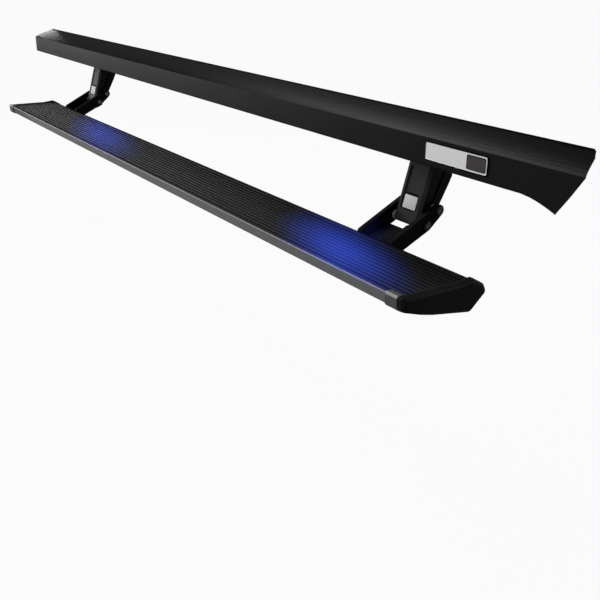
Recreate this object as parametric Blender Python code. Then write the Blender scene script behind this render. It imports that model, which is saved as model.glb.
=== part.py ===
"""Powered running board: a ribbed step board on two parallel-arm linkages under a rocker fascia.

The frame's origin is the centre of the middle bracket's foot, on the plane where the vehicle's
rocker sits. +X runs along the board, +Y runs inboard and +Z up. The step is modelled swung out.
"""

import math

import bmesh
import bpy
from mathutils import Matrix, Vector

# Clearances and facets
SEAT = 0.0003
RUNNING = 0.0005
ROUND_SIDES = 12
FULL_ROUND = 0.98
ARC_STEP = math.radians(24)

# Step board, measured from its outboard top edge
BOARD_LENGTH = 2.202
TREAD_WIDTH = 0.158
REAR_OVERHANG = 0.029
NOSE_HEIGHT = 0.021
BELLY_BACK = 0.053
BELLY_DEPTH = 0.038
BOARD_DEPTH = 0.054
KEEL_INSET = 0.004
REAR_CORNER_DROP = 0.021
SHOULDER_BACK = 0.006
SHOULDER_DROP = 0.009
NOSE_TOP_FILLET = 0.002
NOSE_BOTTOM_FILLET = 0.004
TREAD_BACK_FILLET = 0.003
SHOULDER_FILLET = 0.004
REAR_FILLET = 0.005
KEEL_FILLET = 0.007
BELLY_FILLET = 0.18
BOARD_WALL = 0.003
STIFFENER_BACK = 0.048
RIB_COUNT = 11
RIB_WIDTH = 0.0034
RIB_DRAFT = 0.0008
RIB_HEIGHT = 0.002
NOSE_STRIP = 0.009
REAR_STRIP = 0.007

# Bolt slot in the board's underside
SLOT_ALONG = 0.050
SLOT_LIP = 0.003
BOLT_RADIUS = 0.004
BOLT_HEAD_WIDTH = 0.0138
BOLT_HEAD_LENGTH = 0.022
BOLT_HEAD_HEIGHT = 0.005
BOLT_SPACING = 0.056
NUT_FLATS = 0.013
NUT_HEIGHT = 0.007
NUT_FLANGE = 0.0088
NUT_FLANGE_HEIGHT = 0.0016
BOLT_END = 0.0025

# End caps
CAP_PROUD = 0.0018
WRAP_PROUD = 0.0022
CAP_LENGTH = 0.0175
CAP_DOME = 0.0105
CAP_HUMP = 0.004
CAP_HUMP_RUN = 0.032
CAP_HUMP_FILLET = 0.030
CAP_WRAP = 0.030
CAP_WRAP_BACK = 0.012
CAP_TENON = 0.022
CAP_ROOT = 0.003
DOME_STATIONS = 5
DOME_TURN = math.radians(78)

# Linkages
NEAR_LINKAGE_INSET = 0.296
FAR_LINKAGE_INSET = 0.116
ARM_LENGTH = 0.150
ARM_LEAN = math.radians(65)
UPPER_PIVOT_BACK = 0.0264
UPPER_PIVOT_DROP = 0.0511
REAR_PIVOT_BACK = 0.030
REAR_PIVOT_RISE = 0.027
PIVOT_BEHIND_TREAD = 0.115
PIVOT_ABOVE_TREAD = 0.015
RAIL_INNER = 0.0435
RAIL_THICKNESS = 0.0115

# Pivot pins and bushes
PIN_RADIUS = 0.0045
PIN_HEAD_RADIUS = 0.0085
PIN_HEAD_HEIGHT = 0.0038
PIN_SOCKET_RADIUS = 0.0032
PIN_SOCKET_DEPTH = 0.0024
PIN_TAIL_RADIUS = 0.0072
PIN_TAIL_HEIGHT = 0.0024
BUSH_WALL = 0.0015
BUSH_DEPTH = 0.010
BUSH_FLANGE_RADIUS = 0.0098

# Front arm
ARM_HALF_WIDTH = 0.037
ARM_CORNER = 0.014
FRONT_KNUCKLE = 0.0105
FRONT_FACE_TILT = math.radians(9)
FRONT_FACE_RISE = 0.012
FRONT_FACE_FILLET = 0.006
FRONT_FACE_BELOW_PIVOT = 0.038
FRONT_BEVEL_WIDTH = 0.007
FRONT_BEVEL_DEPTH = 0.005
FRONT_TOP_REACH = 0.0265
FRONT_REAR_REACH = 0.003
FRONT_EAR = 0.013
EAR_INNER = 0.025
FORK_DEPTH = 0.022
POCKET_RIM = 0.013
POCKET_DEPTH = 0.0025
POCKET_START = 0.016
POCKET_TOP_RIM = 0.006
CORE_RIM = 0.008
CORE_FLOOR = 0.004
CORE_RIB = 0.006
CORE_START = 0.022
CORE_FILLET = 0.004
POCKET_FILLET = 0.005

# Rear arm
REAR_KNUCKLE = 0.0105
REAR_TOP_KNUCKLE = 0.012
REAR_FRONT_REACH = 0.007
REAR_BACK_REACH = 0.0138
NECK_HALF_WIDTH = 0.023
NECK_LENGTH = 0.058
REAR_CORE_DEPTH = 0.011
REAR_CORE_INSET = 0.018
NECK_SLOPE = 0.014
NECK_FILLET = 0.008

# Step carrier casting
CARRIER_KNUCKLE = 0.012
RAIL_SLOPE = math.radians(25.6)
HEEL_BEHIND_BOARD = 0.027
HEEL_RISE = 0.004
FOOT_LENGTH = 0.086
FOOT_THICKNESS = 0.010
WEB_THICKNESS = 0.007
FLOOR_BEFORE_PIVOT = 0.0165
STOP_PAD_START = 0.004
STOP_PAD_GAP = 0.003
STOP_PAD_THICKNESS = 0.0035
STOP_PAD_BACK = 0.008
PAD_LAP = 0.002

# Linkage housing
PLATE_THICKNESS = 0.006
PLATE_FRONT = 0.035
PLATE_BACK = 0.090
PLATE_WING = 0.023
PLATE_CORNER = 0.008
MOUNT_HOLE_RADIUS = 0.0043
MOUNT_HOLE_INSET = 0.012
HOUSING_WALL = 0.006
HOUSING_WALL_DROP = 0.045
HOUSING_WALL_LAP = 0.004
CHEEK_FRONT = 0.038
CHEEK_REAR = 0.030
CHEEK_RIM = 0.016

# Gear motor
GEARBOX_THICKNESS = 0.034
GEARBOX_RADIUS = 0.026
WORM_DROP = 0.016
WORM_TUBE_RADIUS = 0.014
WORM_TUBE_FRONT = 0.026
WORM_TUBE_BACK = 0.034
LUG_RADIUS = 0.006
LUG_THICKNESS = 0.008
LUG_TURNS = (80, 150, 350)
TUBE_BEVEL = 0.003
TUBE_MOUTH = 0.004
MOTOR_RADIUS = 0.0195
MOTOR_LENGTH = 0.062
MOTOR_BOSS_RADIUS = 0.008
MOTOR_BOSS_LENGTH = 0.004
MOTOR_BEVEL = 0.002

# Rocker fascia
FASCIA_REACH = 0.133
FASCIA_BOTTOM = -0.037
FASCIA_CREASE = 0.015
FASCIA_TOP_BACK = -0.065
FASCIA_TOP = 0.040
FASCIA_WALL = 0.003
FASCIA_RETURN = 0.028
FASCIA_LIP = 0.020
LIP_SETBACK = 0.020
RETURN_SETBACK = 0.062
TOP_CORNER = 0.004
FASCIA_FILLET = 0.004
CROWN_LEAN = 0.205
CROWN_BULGE = 0.42
FASCIA_FAR_OVERHANG = 0.205
FASCIA_CREASE_OVERHANG = 0.193
FASCIA_TOP_OVERHANG = 0.155
FASCIA_TIP_OVERHANG = 0.149
FLARE_LENGTH = 0.075
FLARE_DROP = 0.017
FLARE_STATIONS = 4
FLARE_CURVE = 1.6
CROWN_STEPS = 6
END_WALL_INSET = 0.030

# Fascia brackets and stays
BRACKET_COUNT = 5
BRACKET_WIDTH = 0.060
BRACKET_WALL = 0.003
BRACKET_FOOT_BACK = 0.030
BRACKET_TOP_DROP = 0.004
STAY_WIDTH = 0.040
BOLT_OFFSET = 0.018

# Step lamps
NEAR_LAMP_FROM_LINKAGE = 0.105
FAR_LAMP_FROM_BRACKET = 0.0905
LAMP_WIDTH = 0.034
LAMP_DEPTH = 0.026
LAMP_HEIGHT = 0.018
LAMP_TAB = 0.0025
LAMP_TAB_REACH = 0.020
LAMP_BELOW_FASCIA = 0.005
LAMP_BEVEL = 0.004
LENS_RADIUS = 0.009
LENS_THICKNESS = 0.003

# Places worked out from the sizes above, each as (Y, Z)
ARM = Vector((math.cos(ARM_LEAN), math.sin(ARM_LEAN))) * ARM_LENGTH
UPPER_FRONT = Vector((UPPER_PIVOT_BACK, -UPPER_PIVOT_DROP))
UPPER_REAR = UPPER_FRONT + Vector((REAR_PIVOT_BACK, REAR_PIVOT_RISE))
LOWER_FRONT = UPPER_FRONT - ARM
LOWER_REAR = UPPER_REAR - ARM
NOSE = LOWER_FRONT - Vector((TREAD_WIDTH + PIVOT_BEHIND_TREAD, PIVOT_ABOVE_TREAD))
RAIL_OUTER = RAIL_INNER + RAIL_THICKNESS
BUSH_BORE = PIN_RADIUS + RUNNING
BUSH_RADIUS = BUSH_BORE + BUSH_WALL
BOARD_END = BOARD_LENGTH / 2
NEAR_X = BOARD_END - NEAR_LINKAGE_INSET
FAR_X = FAR_LINKAGE_INSET - BOARD_END
BRACKET_PITCH = BOARD_LENGTH / (BRACKET_COUNT - 1)
NEAR_LAMP_X = NEAR_X - NEAR_LAMP_FROM_LINKAGE
FAR_LAMP_X = FAR_LAMP_FROM_BRACKET - BRACKET_PITCH
FASCIA_FAR_X = -BOARD_END - FASCIA_FAR_OVERHANG
FASCIA_CREASE_X = BOARD_END + FASCIA_CREASE_OVERHANG
FASCIA_TOP_X = BOARD_END + FASCIA_TOP_OVERHANG
FASCIA_TIP_X = BOARD_END + FASCIA_TIP_OVERHANG
THROUGH = 2 * RAIL_OUTER
LAMP_LOW = FASCIA_BOTTOM - LAMP_BELOW_FASCIA

# An outline's first and second numbers become Y and Z, and it is extruded along X
SIDE = Matrix(((0, 0, 1, 0), (1, 0, 0, 0), (0, 1, 0, 0), (0, 0, 0, 1)))
# An outline's first and second numbers become X and Z, and it is extruded along Y
LENGTHWISE = Matrix(((1, 0, 0, 0), (0, 0, 1, 0), (0, 1, 0, 0), (0, 0, 0, 1)))


def at(y, z, x=0.0):
    return Matrix.Translation((x, y, z))


def rounded(corners):
    """The outline through (u, v, fillet radius) corners, with each round corner as an arc."""
    points = []
    for index, (u, v, radius) in enumerate(corners):
        corner = Vector((u, v))
        before = (Vector(corners[index - 1][:2]) - corner).normalized()
        after = (Vector(corners[(index + 1) % len(corners)][:2]) - corner).normalized()
        if radius <= 0:
            points.append(corner)
            continue
        half = before.angle(after) / 2
        centre = corner + (before + after).normalized() * (radius / math.sin(half))
        arm = corner + before * (radius / math.tan(half)) - centre
        turn = math.pi - 2 * half
        turn *= math.copysign(1, before.x * after.y - before.y * after.x) * -1
        steps = max(1, math.ceil(abs(turn) / ARC_STEP))
        for step in range(steps + 1):
            points.append(centre + Matrix.Rotation(turn * step / steps, 2) @ arm)
    kept = [p for i, p in enumerate(points) if (p - points[i - 1]).length > 1e-5]
    return kept


def circle(centre, flat_radius, sides=ROUND_SIDES, phase=0.0):
    """A polygon about a centre whose flats, not its corners, lie at the radius."""
    radius = flat_radius / math.cos(math.pi / sides)
    return [
        Vector(centre) + Matrix.Rotation(phase + 2 * math.pi * k / sides, 2) @ Vector((radius, 0))
        for k in range(sides)
    ]


def signed_area(points):
    return sum(
        points[i - 1].x * point.y - point.x * points[i - 1].y for i, point in enumerate(points)
    ) / 2


def offset_outline(points, distance):
    """A closed outline moved outwards by a distance, with its corners kept sharp."""
    way = distance * math.copysign(1, signed_area(points))
    moved = []
    for index, point in enumerate(points):
        before = (point - points[index - 1]).normalized()
        after = (points[(index + 1) % len(points)] - point).normalized()
        normal = Vector((before.y, -before.x)) + Vector((after.y, -after.x))
        moved.append(point + normal * (way * 2 / normal.length_squared))
    return moved


def clipped(points, edge, normal):
    """The part of an outline on the side of a line that the normal points to."""
    kept = []
    for index, point in enumerate(points):
        last = points[index - 1]
        last_in = (last - edge).dot(normal)
        this_in = (point - edge).dot(normal)
        if last_in * this_in < 0:
            kept.append(last.lerp(point, last_in / (last_in - this_in)))
        if this_in >= 0:
            kept.append(point.copy())
    return kept


def mesh_from(bm, name="shape"):
    bm.normal_update()
    bmesh.ops.recalc_face_normals(bm, faces=bm.faces)
    mesh = bpy.data.meshes.new(name)
    bm.to_mesh(mesh)
    bm.free()
    return mesh


def prism(outline, low, high, frame=SIDE, holes=()):
    """A straight extrusion of an outline, with holes where they are given."""
    bm = bmesh.new()
    edges = []
    for loop in (outline, *holes):
        verts = [bm.verts.new((point[0], point[1], low)) for point in loop]
        edges += [bm.edges.new((verts[i - 1], vert)) for i, vert in enumerate(verts)]
    if holes:
        bmesh.ops.triangle_fill(bm, use_beauty=True, use_dissolve=False, edges=edges)
    else:
        bm.faces.new([vert for vert in bm.verts])
    lid = bmesh.ops.extrude_face_region(bm, geom=bm.faces[:])["geom"]
    lid_verts = [item for item in lid if isinstance(item, bmesh.types.BMVert)]
    bmesh.ops.translate(bm, verts=lid_verts, vec=(0, 0, high - low))
    bm.transform(frame)
    return mesh_from(bm)


def loft(sections, wall=False):
    """A skin through rings of 3-D points, closed at both ends.

    With wall, each ring runs out along one side of a wall and back along the other, and the ends
    are closed with a strip from side to side.
    """
    bm = bmesh.new()
    rings = [[bm.verts.new(point) for point in section] for section in sections]
    for near, far in zip(rings, rings[1:]):
        for index in range(len(near)):
            bm.faces.new((near[index - 1], near[index], far[index], far[index - 1]))
    for ring in (rings[0], rings[-1]):
        if not wall:
            bm.faces.new(ring)
            continue
        for index in range(len(ring) // 2 - 1):
            bm.faces.new((ring[index], ring[index + 1], ring[-2 - index], ring[-1 - index]))
    return mesh_from(bm)


def turned(profile, frame, sides=ROUND_SIDES):
    """A profile of (place along the axis, radius) points turned about the local X axis."""
    bm = bmesh.new()
    verts = [bm.verts.new((along, radius, 0)) for along, radius in profile]
    edges = [bm.edges.new(pair) for pair in zip(verts, verts[1:])]
    if profile[0][1] > 0:
        edges.append(bm.edges.new((verts[-1], verts[0])))
    bmesh.ops.spin(
        bm, geom=verts + edges, cent=(0, 0, 0), axis=(1, 0, 0), angle=2 * math.pi,
        steps=sides, use_merge=True, use_duplicate=False,
    )
    bmesh.ops.remove_doubles(bm, verts=bm.verts, dist=1e-6)
    bm.transform(frame)
    return mesh_from(bm)


def combined(base, tools, operation):
    """One mesh from a base mesh and tool meshes, by Booleans in turn."""
    scene = bpy.context.scene.collection
    body = bpy.data.objects.new("boolean_base", base)
    scene.objects.link(body)
    helpers = []
    for tool in tools:
        helper = bpy.data.objects.new("boolean_tool", tool)
        helper.hide_render = True
        scene.objects.link(helper)
        helpers.append(helper)
        modifier = body.modifiers.new(operation.lower(), "BOOLEAN")
        modifier.operation = operation
        modifier.solver = "EXACT"
        modifier.object = helper
    bpy.context.view_layer.update()
    graph = bpy.context.evaluated_depsgraph_get()
    result = bpy.data.meshes.new_from_object(body.evaluated_get(graph))
    for helper in (body, *helpers):
        bpy.data.objects.remove(helper)
    return result


def cut(base, *tools):
    return combined(base, tools, "DIFFERENCE")


def joined(base, *tools):
    return combined(base, tools, "UNION")


def common(base, *tools):
    return combined(base, tools, "INTERSECT")


def mirrored(mesh):
    copy = mesh.copy()
    copy.transform(Matrix.Scale(-1, 4, (1, 0, 0)))
    copy.flip_normals()
    return copy


def bore(centre, radius, low=-THROUGH, high=THROUGH):
    return prism(circle(centre, radius), low, high)


def finish(name, colour, roughness, metallic):
    material = bpy.data.materials.new(name)
    material.use_nodes = True
    shader = material.node_tree.nodes["Principled BSDF"]
    shader.inputs["Base Color"].default_value = (*colour, 1)
    shader.inputs["Roughness"].default_value = roughness
    shader.inputs["Metallic"].default_value = metallic
    return material


def joint_axis(name, x, place):
    empty = bpy.data.objects.new(name, None)
    empty.location = (x, place.x, place.y)
    empty.empty_display_size = 0.03
    bpy.context.scene.collection.objects.link(empty)
    return empty


def place(name, mesh, material, parent=None, x=0.0):
    """One named piece, at its distance along X and carried by its joint's empty."""
    piece = bpy.data.objects.new(name, mesh)
    mesh.materials.clear()
    mesh.materials.append(material)
    mesh.shade_smooth()
    mesh.set_sharp_from_angle(angle=math.radians(35))
    piece.location = (x, 0, 0)
    if parent:
        piece.parent = parent
        piece.location = Vector((x, 0, 0)) - parent.location
    bpy.context.scene.collection.objects.link(piece)
    return piece


def board_corners(hump=0.0):
    """The board's section without its ribs and slot, as (back from the nose, up, fillet)."""
    rear = TREAD_WIDTH + REAR_OVERHANG
    corners = [
        (0, 0, NOSE_TOP_FILLET),
        (TREAD_WIDTH, hump, TREAD_BACK_FILLET),
        (rear - SHOULDER_BACK, -SHOULDER_DROP, SHOULDER_FILLET),
        (rear, -REAR_CORNER_DROP, REAR_FILLET),
        (TREAD_WIDTH - KEEL_INSET, -BOARD_DEPTH, KEEL_FILLET),
        (BELLY_BACK, -BELLY_DEPTH, BELLY_FILLET),
        (0.001, -NOSE_HEIGHT, NOSE_BOTTOM_FILLET),
    ]
    if hump:
        corners.insert(1, (TREAD_WIDTH - CAP_HUMP_RUN, 0, CAP_HUMP_FILLET))
    return corners


BELLY = Vector((BELLY_BACK, -BELLY_DEPTH))
KEEL = Vector((TREAD_WIDTH - KEEL_INSET, -BOARD_DEPTH))
UNDERSIDE = (KEEL - BELLY).normalized()
UNDERSIDE_UP = Vector((-UNDERSIDE.y, UNDERSIDE.x))
SLOT = BELLY + UNDERSIDE * SLOT_ALONG
SLOT_HEAD = BOLT_HEAD_WIDTH / 2 + SEAT
SLOT_NECK = BOLT_RADIUS + SEAT
SLOT_ROOF = SLOT_LIP + BOLT_HEAD_HEIGHT + 2 * SEAT


def slot_point(along, up):
    return SLOT + UNDERSIDE * along + UNDERSIDE_UP * up


def tread_outline():
    """Lands and ribs from the nose back to the tread's rear edge."""
    floor = -RIB_HEIGHT
    pitch = (TREAD_WIDTH - NOSE_STRIP - REAR_STRIP) / (RIB_COUNT + 1)
    points = [(NOSE_STRIP, 0, 0), (NOSE_STRIP + RIB_DRAFT, floor, 0)]
    for index in range(1, RIB_COUNT + 1):
        middle = NOSE_STRIP + pitch * index
        half = RIB_WIDTH / 2
        points += [
            (middle - half - RIB_DRAFT, floor, 0),
            (middle - half, 0, 0),
            (middle + half, 0, 0),
            (middle + half + RIB_DRAFT, floor, 0),
        ]
    rear = TREAD_WIDTH - REAR_STRIP
    return points + [(rear - RIB_DRAFT, floor, 0), (rear, 0, 0)]


def slot_outline():
    """The bolt slot's wall, from its inboard lip round to its outboard lip."""
    steps = [
        (SLOT_NECK, 0), (SLOT_NECK, SLOT_LIP), (SLOT_HEAD, SLOT_LIP), (SLOT_HEAD, SLOT_ROOF),
        (-SLOT_HEAD, SLOT_ROOF), (-SLOT_HEAD, SLOT_LIP), (-SLOT_NECK, SLOT_LIP), (-SLOT_NECK, 0),
    ]
    return [(*slot_point(along, up), 0) for along, up in steps]


def board_chambers():
    """The hollow cells inside the extrusion, split by a stiffener and by the slot's walls."""
    skin = offset_outline([Vector(corner[:2]) for corner in board_corners()], -BOARD_WALL)
    under_ribs = Vector((0, -RIB_HEIGHT - BOARD_WALL))
    skin = clipped(skin, under_ribs, Vector((0, -1)))
    side = SLOT_HEAD + BOARD_WALL
    ahead = clipped(skin, slot_point(-side, 0), -UNDERSIDE)
    behind = clipped(skin, slot_point(side, 0), UNDERSIDE)
    above = clipped(skin, slot_point(-SLOT_HEAD, 0), UNDERSIDE)
    above = clipped(above, slot_point(SLOT_HEAD, 0), -UNDERSIDE)
    above = clipped(above, slot_point(0, SLOT_ROOF + BOARD_WALL), UNDERSIDE_UP)
    stiffener = Vector((STIFFENER_BACK, 0))
    half = Vector((BOARD_WALL / 2, 0))
    nose_cell = clipped(ahead, stiffener - half, Vector((-1, 0)))
    front_cell = clipped(ahead, stiffener + half, Vector((1, 0)))
    return [nose_cell, front_cell, above, behind]


def step_board_mesh():
    corners = board_corners()
    outline = rounded([corners[0], *tread_outline(), *corners[1:5], *slot_outline(), *corners[5:]])
    frame = at(*NOSE) @ SIDE
    return prism(outline, -BOARD_END, BOARD_END, frame, board_chambers())


def end_cap_mesh():
    """The cap for the board's +X end: a domed end, a wrap round the nosing and two tenons."""
    section = offset_outline(rounded(board_corners(CAP_HUMP)), CAP_PROUD)
    low = Vector((min(p.x for p in section), min(p.y for p in section)))
    high = Vector((max(p.x for p in section), max(p.y for p in section)))
    middle = (low + high) / 2
    size = high - low
    rings = []
    for station in range(-1, DOME_STATIONS + 1):
        turn = max(station, 0) / DOME_STATIONS * DOME_TURN
        inset = CAP_DOME * (1 - math.cos(turn))
        straight = CAP_LENGTH - CAP_DOME
        along = SEAT if station < 0 else straight + CAP_DOME * math.sin(turn)
        ring = []
        for point in section:
            y = middle.x + (point.x - middle.x) * (1 - 2 * inset / size.x)
            z = middle.y + (point.y - middle.y) * (1 - 2 * inset / size.y)
            ring.append((BOARD_END + along, NOSE.x + y, NOSE.y + z))
        rings.append(ring)
    frame = at(*NOSE) @ SIDE
    plain = rounded(board_corners())
    wrap_back = Vector((CAP_WRAP_BACK, 0))
    wrap_outside = clipped(offset_outline(plain, WRAP_PROUD), wrap_back, Vector((-1, 0)))
    wrap = cut(
        prism(wrap_outside, BOARD_END - CAP_WRAP, BOARD_END + CAP_ROOT, frame),
        prism(offset_outline(plain, SEAT), BOARD_END - 2 * CAP_WRAP, BOARD_END + SEAT, frame),
    )
    cells = board_chambers()
    tenons = [
        prism(offset_outline(cell, -SEAT * 2), BOARD_END - CAP_TENON, BOARD_END + CAP_ROOT, frame)
        for cell in (cells[1], cells[3])
    ]
    return joined(loft(rings), wrap, *tenons)


def bolt_frame(x):
    """Local Z runs down out of the slot, with its zero on the board's underside."""
    tilt = math.atan2(UNDERSIDE.y, UNDERSIDE.x)
    where = NOSE + SLOT
    return at(where.x, where.y, x) @ Matrix.Rotation(tilt, 4, "X") @ Matrix.Rotation(math.pi, 4, "Y")


# Local X of a turned piece becomes Z of a bolt's frame
ALONG_BOLT = Matrix.Rotation(-math.pi / 2, 4, "Y")


def carrier_bolt_mesh(x):
    frame = bolt_frame(x)
    head_low = -SLOT_LIP - SEAT - BOLT_HEAD_HEIGHT
    length = SEAT + FOOT_THICKNESS + SEAT + NUT_HEIGHT + BOLT_END
    shank = turned(
        [(head_low + 0.001, 0), (head_low + 0.001, BOLT_RADIUS), (length - 0.001, BOLT_RADIUS),
         (length, BOLT_RADIUS - 0.001), (length, 0)],
        frame @ ALONG_BOLT,
    )
    half_x = BOLT_HEAD_LENGTH / 2
    half_y = BOLT_HEAD_WIDTH / 2
    fillet = 0.002
    head = rounded([(-half_x, -half_y, fillet), (half_x, -half_y, fillet),
                    (half_x, half_y, fillet), (-half_x, half_y, fillet)])
    return joined(prism(head, head_low, head_low + BOLT_HEAD_HEIGHT, frame), shank)


def carrier_nut_mesh(x):
    frame = bolt_frame(x)
    seat = 2 * SEAT + FOOT_THICKNESS
    hexagon = circle((0, 0), NUT_FLATS / 2, 6)
    flange = circle((0, 0), NUT_FLANGE)
    nut = joined(
        prism(flange, seat, seat + NUT_FLANGE_HEIGHT, frame),
        prism(hexagon, seat + NUT_FLANGE_HEIGHT / 2, seat + NUT_HEIGHT, frame),
    )
    thread = circle((0, 0), BOLT_RADIUS + SEAT)
    return cut(nut, prism(thread, seat - 0.01, seat + NUT_HEIGHT + 0.01, frame))


def carrier_mesh():
    """Two rails and a floor in one casting: both lower pivots, the heel and the foot."""
    knuckle = CARRIER_KNUCKLE
    front = LOWER_FRONT - NOSE
    rear = LOWER_REAR - NOSE
    lean = math.atan2(rear.y - front.y, rear.x - front.x)
    slope = Vector((math.cos(RAIL_SLOPE), math.sin(RAIL_SLOPE)))
    slope_up = Vector((-slope.y, slope.x))
    board_back = TREAD_WIDTH + REAR_OVERHANG
    shoulder = Vector((board_back - SHOULDER_BACK, -SHOULDER_DROP))

    under_front = front - slope_up * knuckle
    heel = under_front - slope * ((under_front.x - board_back - HEEL_BEHIND_BOARD) / slope.x)
    foot_back = KEEL - UNDERSIDE_UP * (FOOT_THICKNESS + 2 * SEAT)
    foot_front = foot_back - UNDERSIDE * FOOT_LENGTH
    board_front = foot_front + UNDERSIDE_UP * (FOOT_THICKNESS + 2 * SEAT)
    back_corner = Vector((board_back, foot_back.y + HEEL_RISE))
    outline = rounded([
        (*under_front, 0),
        (*heel, 0.012),
        (*back_corner, 0.012),
        (*foot_back, 0.010),
        (*foot_front, 0.003),
        (*board_front, 0),
    ])
    board = offset_outline(rounded(board_corners()), 2 * SEAT)
    outline += reversed([p for p in board if p.x > board_front.x and p.y < shoulder.y])
    outline.append(shoulder + Vector((0.003, 0.004)))
    first = math.radians(118)
    last = lean - math.pi / 2
    steps = 9
    for step in range(steps + 1):
        angle = first + (last - first) * step / steps
        outline.append(rear + Vector((math.cos(angle), math.sin(angle))) * knuckle)
    outline.append(front + Vector((math.cos(last), math.sin(last))) * knuckle)

    web_end = heel + slope * ((front.x - FLOOR_BEFORE_PIVOT - heel.x) / slope.x)
    up = slope_up * WEB_THICKNESS
    inside_heel = heel + up + Vector((-0.005, 0.001))
    above = rear.y + 0.05
    beyond = rear.x + 0.05
    bay = rounded([
        (*(web_end - slope_up * 0.02), 0),
        (*(web_end + up), 0.002),
        (*inside_heel, 0.006),
        (back_corner.x - 0.006, back_corner.y + WEB_THICKNESS + 0.003, 0.006),
        (KEEL.x + 0.006, KEEL.y + 0.012, 0),
        (shoulder.x - 0.010, above, 0),
        (beyond, above, 0),
        (beyond, -0.05, 0),
    ])
    frame = at(*NOSE) @ SIDE
    tools = [
        prism(bay, -RAIL_INNER, RAIL_INNER, frame),
        bore(LOWER_FRONT, PIN_RADIUS + SEAT),
        bore(LOWER_REAR, PIN_RADIUS + SEAT),
    ]
    for side in (-1, 1):
        hole = circle((0, 0), BOLT_RADIUS + SEAT)
        tools.append(prism(hole, -0.02, 0.05, bolt_frame(side * BOLT_SPACING / 2)))
    casting = cut(prism(outline, -RAIL_OUTER, RAIL_OUTER, frame), *tools)

    # A pad beyond the floor's end, hollowed round the front arm's knuckle, with a window beside it
    along = (web_end - under_front).dot(slope) - PAD_LAP
    floor_top = WEB_THICKNESS - knuckle - PAD_LAP / 4
    hollow = FRONT_KNUCKLE + STOP_PAD_GAP
    first = math.pi + math.asin(-floor_top / hollow)
    last = 2 * math.pi - math.acos(STOP_PAD_BACK / hollow)
    pad = [(along, PAD_LAP / 4 - knuckle), (along, floor_top)]
    for step in range(steps):
        angle = first + (last - first) * step / (steps - 1)
        pad.append((hollow * math.cos(angle), hollow * math.sin(angle)))
    below = -hollow - STOP_PAD_THICKNESS
    pad += [(STOP_PAD_BACK, below), (-hollow, below)]
    pad = [front + slope * u + slope_up * v for u, v in pad]
    return joined(casting, prism(pad, STOP_PAD_START, RAIL_INNER + PAD_LAP / 2, frame))


def arm_frame(foot):
    """Local Y runs from the lower pivot to the upper one, and local Z faces outboard."""
    return at(*foot) @ Matrix.Rotation(ARM_LEAN, 4, "X")


def front_arm_mesh():
    frame = arm_frame(LOWER_FRONT)
    face = frame @ Matrix.Translation((0, 0, FRONT_FACE_RISE)) @ Matrix.Rotation(FRONT_FACE_TILT, 4, "X")
    knuckle = FRONT_KNUCKLE
    top = ARM_LENGTH
    wide = ARM_HALF_WIDTH
    face_end = top - FRONT_FACE_BELOW_PIVOT
    slope = math.tan(FRONT_FACE_TILT)
    side = rounded([
        (-knuckle, -knuckle, knuckle * FULL_ROUND),
        (0.005, -knuckle, 0.002),
        (0.019, -FRONT_REAR_REACH, 0.006),
        (top - FRONT_EAR - 0.012, -FRONT_REAR_REACH, 0.006),
        (top - FRONT_EAR, -FRONT_EAR, 0.004),
        (top + FRONT_EAR, -FRONT_EAR, FRONT_EAR * FULL_ROUND),
        (top + FRONT_EAR, FRONT_TOP_REACH, 0.014),
        (face_end, FRONT_FACE_RISE + face_end * slope, 0.030),
        (-knuckle, FRONT_FACE_RISE - knuckle * slope, FRONT_FACE_FILLET),
    ])
    blank = prism(side, -wide, wide, frame @ SIDE)
    ear = EAR_INNER
    plan = rounded([
        (-wide, -knuckle - 0.001, ARM_CORNER),
        (wide, -knuckle - 0.001, ARM_CORNER),
        (wide, top + 0.03, 0),
        (ear, top + 0.03, 0),
        (ear, top - FORK_DEPTH, 0.006),
        (-ear, top - FORK_DEPTH, 0.006),
        (-ear, top + 0.03, 0),
        (-wide, top + 0.03, 0),
    ])
    blank = common(blank, prism(plan, -0.05, 0.06, frame))
    rim = wide - POCKET_RIM
    low = POCKET_START
    high = face_end - POCKET_TOP_RIM
    corners = ((-rim, low), (rim, low), (rim, high), (-rim, high))
    pocket = rounded([(*corner, POCKET_FILLET) for corner in corners])
    tools = [prism(pocket, -POCKET_DEPTH, 0.05, face)]
    across = FRONT_BEVEL_WIDTH
    down = FRONT_BEVEL_DEPTH
    for way in (-1, 1):
        outer = way * (wide + across)
        wedge = [(way * (wide - 2 * across), down), (outer, -2 * down), (outer, down)]
        tools.append(prism(wedge, -0.05, top, face @ LENGTHWISE))
    core = wide - CORE_RIM
    end = top - FORK_DEPTH - CORE_RIB
    middle = (CORE_START + end) / 2
    for low, high in ((CORE_START, middle - CORE_RIB / 2), (middle + CORE_RIB / 2, end)):
        corners = ((-core, low), (core, low), (core, high), (-core, high))
        cell = rounded([(*corner, CORE_FILLET) for corner in corners])
        tools.append(prism(cell, -0.05, CORE_FLOOR, frame))
    tools.append(bore(LOWER_FRONT, BUSH_RADIUS + SEAT))
    tools.append(bore(UPPER_FRONT, BUSH_RADIUS + SEAT))
    return cut(blank, *tools)


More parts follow.
